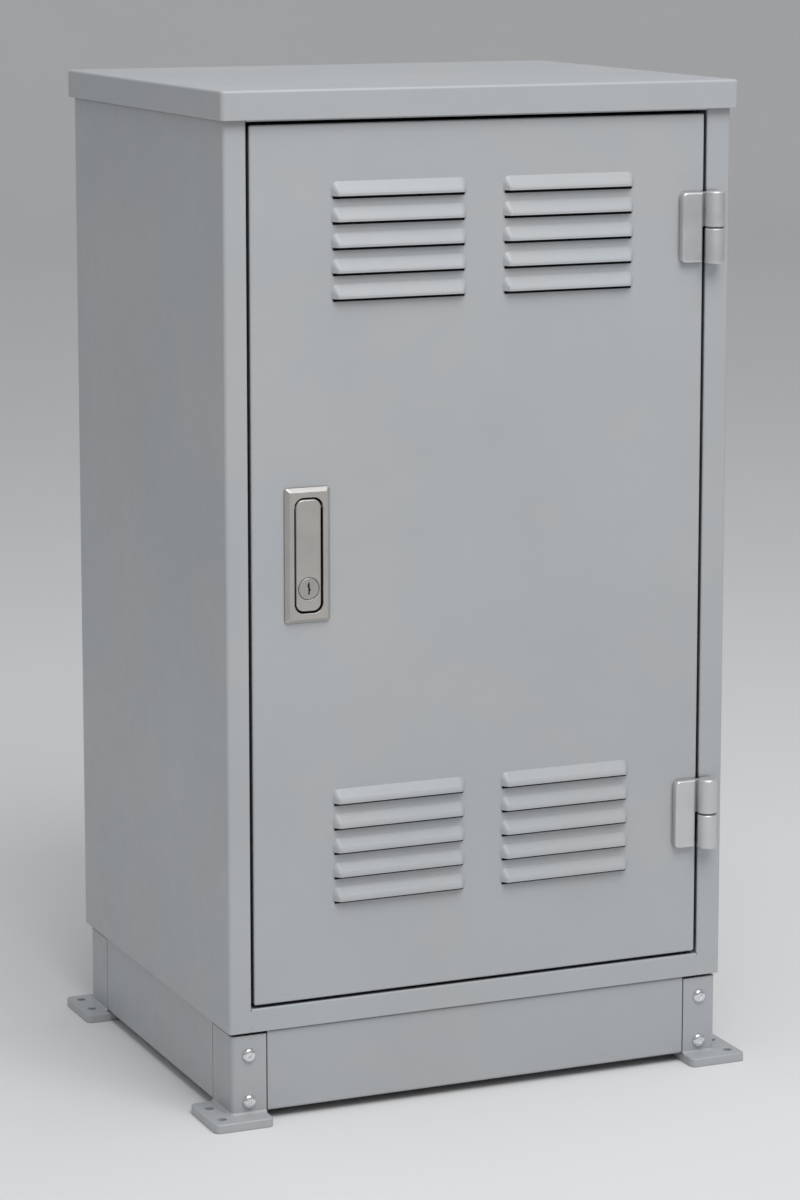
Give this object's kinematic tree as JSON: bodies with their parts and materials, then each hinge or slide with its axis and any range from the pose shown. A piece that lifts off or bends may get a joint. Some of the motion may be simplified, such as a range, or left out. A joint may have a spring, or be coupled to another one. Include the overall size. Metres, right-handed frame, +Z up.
{
  "type": "outdoor utility cabinet",
  "caption": "Free-standing folded steel cabinet on a bolted plinth, with a rain lid, a flush louvred door on lift-off hinges and a recessed pull-handle lock.",
  "frame": {"origin": "on the ground, at the centre of the outer anchor holes in the four foot plates", "axes": "+Z up, the door faces -Y, +X to the right as seen from the front"},
  "size_m": [0.5836, 0.4682, 1.01],
  "materials": {
    "powder_coat": "satin light grey powder coat",
    "satin_alloy": "satin die-cast alloy",
    "zinc_plate": "bright zinc plating",
    "black_rubber": "matt",
    "filter_fleece": "fibrous",
    "brass": "satin",
    "grey_plastic": "matt"
  },
  "bodies": {
    "cabinet": {"cable_grommets": "black_rubber", "door_seal": "black_rubber", "earth_bar": "brass", "earth_bar_pillars": "grey_plastic", "earth_screws": "brass", "earth_stud_body": "zinc_plate", "floor_pan": "powder_coat", "foot_front_left": "powder_coat", "foot_front_right": "powder_coat", "foot_rear_left": "powder_coat", "foot_rear_right": "powder_coat", "gland_plate": "zinc_plate", "gland_screws": "zinc_plate", "head_rail": "powder_coat", "hinge_base_lower": "satin_alloy", "hinge_base_upper": "satin_alloy", "hinge_pin_lower": "zinc_plate", "hinge_pin_upper": "zinc_plate", "hinge_washers": "grey_plastic", "lid": "powder_coat", "lid_cup_washers": "zinc_plate", "lid_screws": "zinc_plate", "mounting_plate": "zinc_plate", "mounting_studs": "zinc_plate", "plinth_bolts": "zinc_plate", "plinth_nuts": "zinc_plate", "roof_panel": "powder_coat", "side_wrap": "powder_coat", "sill_rail": "powder_coat", "skirt_front": "powder_coat", "skirt_left": "powder_coat", "skirt_rear": "powder_coat", "skirt_right": "powder_coat", "small_nuts": "zinc_plate", "stud_nuts": "zinc_plate", "tie_bolts": "zinc_plate"},
    "door": {"door_panel": "powder_coat", "door_stiffener_upper": "powder_coat", "door_stiffener_lower": "powder_coat", "filter_mat_upper": "filter_fleece", "filter_mat_lower": "filter_fleece", "filter_frame_upper": "zinc_plate", "filter_frame_lower": "zinc_plate", "filter_studs": "zinc_plate", "filter_nuts": "zinc_plate", "earth_stud_door": "zinc_plate", "door_nuts": "zinc_plate", "hinge_leaf_upper": "satin_alloy", "hinge_leaf_lower": "satin_alloy", "lock_housing": "satin_alloy", "handle_pin": "zinc_plate", "lock_clamp": "zinc_plate", "lock_screws": "zinc_plate", "handle_spring": "zinc_plate", "latch_guide": "zinc_plate"},
    "pull_handle": {"pull_handle": "satin_alloy"},
    "lock_button": {"lock_button": "satin_alloy"},
    "key_plug": {"key_plug": "satin_alloy"},
    "latch": {"latch_tongue": "zinc_plate"}
  },
  "joints": [
    {"name": "door_swing", "type": "hinge", "parent": "cabinet", "child": "door", "pos_m": [0.2479, -0.22315, 0.565], "axis": [0, 0, 1], "range_deg": [0, 180]},
    {"name": "handle_lift", "type": "hinge", "parent": "door", "child": "pull_handle", "pos_m": [-0.1865, -0.21275, 0.6093], "axis": [-1, 0, 0], "range_deg": [0, 30], "stiffness_Nm_per_rad": 0.05, "springref_deg": -28.65},
    {"name": "latch_slide", "type": "slide", "parent": "door", "child": "latch", "axis": [1, 0, 0], "range_m": [0, 0.012]},
    {"name": "button_push", "type": "slide", "parent": "pull_handle", "child": "lock_button", "axis": [0, 1, 0], "range_m": [0, 0.003], "stiffness_N_per_m": 400, "springref_m": -0.003},
    {"name": "key_turn", "type": "hinge", "parent": "lock_button", "child": "key_plug", "pos_m": [-0.1865, -0.21275, 0.5301], "axis": [0, 1, 0], "range_deg": [0, 90]}
  ],
  "couplings": [
    {"joint": "latch_slide", "follows": "handle_lift", "m_per_rad": 0.0229}
  ]
}
